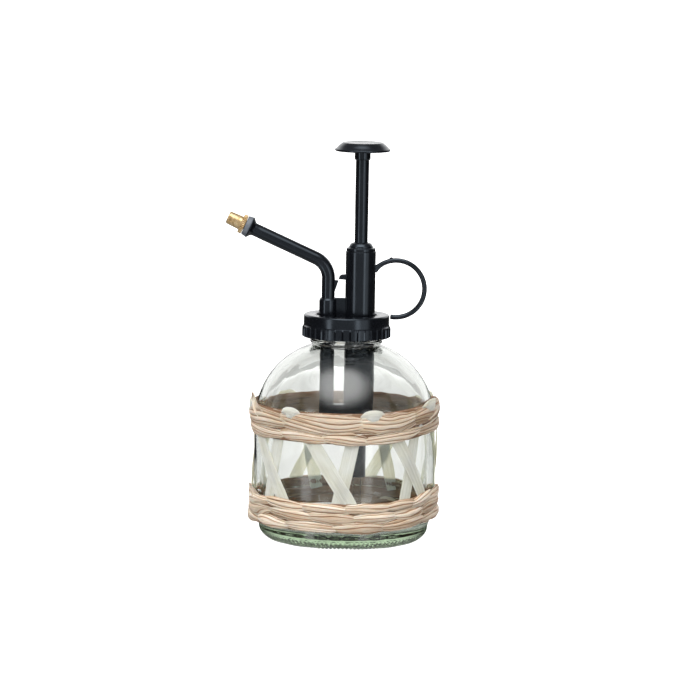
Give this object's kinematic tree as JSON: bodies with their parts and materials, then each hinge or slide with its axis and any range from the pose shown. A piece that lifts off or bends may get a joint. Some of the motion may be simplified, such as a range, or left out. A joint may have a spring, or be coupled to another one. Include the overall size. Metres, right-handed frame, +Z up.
{
  "type": "hand mister",
  "caption": "Round glass bottle wrapped in twisted raffia, with a black plunger pump, an angled spout, a finger ring and a brass misting nozzle.",
  "frame": {"origin": "centre of the bottle's flat base, on the surface it stands on", "axes": "+Z up along the bottle's axis, -X towards the spout, +X towards the finger ring"},
  "size_m": [0.1083, 0.0952, 0.1995],
  "materials": {
    "bottle_glass": "clear, faintly green where thick",
    "raffia": "twisted dry raffia, tan with brown creases",
    "palm_strip": "bleached flat palm leaf, fibrous and matte",
    "black_plastic": "moulded, glossy",
    "grey_plastic": "satin grey",
    "natural_plastic": "uncoloured, satin",
    "clear_tube": "translucent",
    "seal_rubber": "matt",
    "brass": "turned, bright",
    "steel": "drawn wire and ground balls"
  },
  "bodies": {
    "bottle": {"glass_bottle": "bottle_glass", "lower_cord_1": "raffia", "lower_cord_2": "raffia", "lower_cord_3": "raffia", "upper_cord": "raffia", "upper_bundle": "raffia", "slant_strip_1": "palm_strip", "slant_strip_2": "palm_strip", "slant_strip_3": "palm_strip", "slant_strip_4": "palm_strip", "slant_strip_5": "palm_strip", "slant_strip_6": "palm_strip", "slant_strip_7": "palm_strip", "counter_strip_1": "palm_strip", "counter_strip_2": "palm_strip", "counter_strip_3": "palm_strip", "counter_strip_4": "palm_strip", "counter_strip_5": "palm_strip", "counter_strip_6": "palm_strip", "counter_strip_7": "palm_strip"},
    "pump": {"pump_body": "black_plastic", "finger_ring": "black_plastic", "neck_gasket": "seal_rubber", "gland_nut": "black_plastic", "rod_seal": "seal_rubber", "foot_block": "black_plastic", "valve_cage": "natural_plastic", "tail_tube": "black_plastic", "dip_tube": "clear_tube", "spout_tube": "black_plastic", "nozzle_washer": "grey_plastic", "return_spring": "steel"},
    "collar": {"screw_collar": "black_plastic"},
    "plunger": {"push_button": "black_plastic", "plunger_rod": "black_plastic", "piston": "natural_plastic", "piston_seal": "seal_rubber"},
    "nozzle": {"nozzle_cap": "brass", "swirl_core": "brass"},
    "inlet_valve": {"inlet_ball": "steel"},
    "outlet_valve": {"outlet_ball": "steel"}
  },
  "joints": [
    {"name": "pump_lift", "type": "slide", "parent": "bottle", "child": "pump", "axis": [0, 0, 1], "range_m": [0, 0.105]},
    {"name": "collar_turn", "type": "hinge", "parent": "pump", "child": "collar", "pos_m": [0, 0, 0.108], "axis": [0, 0, 1], "range_deg": [0, 540]},
    {"name": "plunger_press", "type": "slide", "parent": "pump", "child": "plunger", "axis": [0, 0, -1], "range_m": [0, 0.04], "stiffness_N_per_m": 150, "springref_m": -0.012, "deforming": ["return_spring"]},
    {"name": "nozzle_turn", "type": "hinge", "parent": "pump", "child": "nozzle", "pos_m": [-0.04908, 0, 0.15623], "axis": [-0.9121, 0, 0.4099], "range_deg": [0, 360]},
    {"name": "inlet_valve_lift", "type": "slide", "parent": "pump", "child": "inlet_valve", "axis": [0, 0, 1], "range_m": [0, 0.001]},
    {"name": "outlet_valve_lift", "type": "slide", "parent": "pump", "child": "outlet_valve", "axis": [0, 0, 1], "range_m": [0, 0.001]}
  ]
}
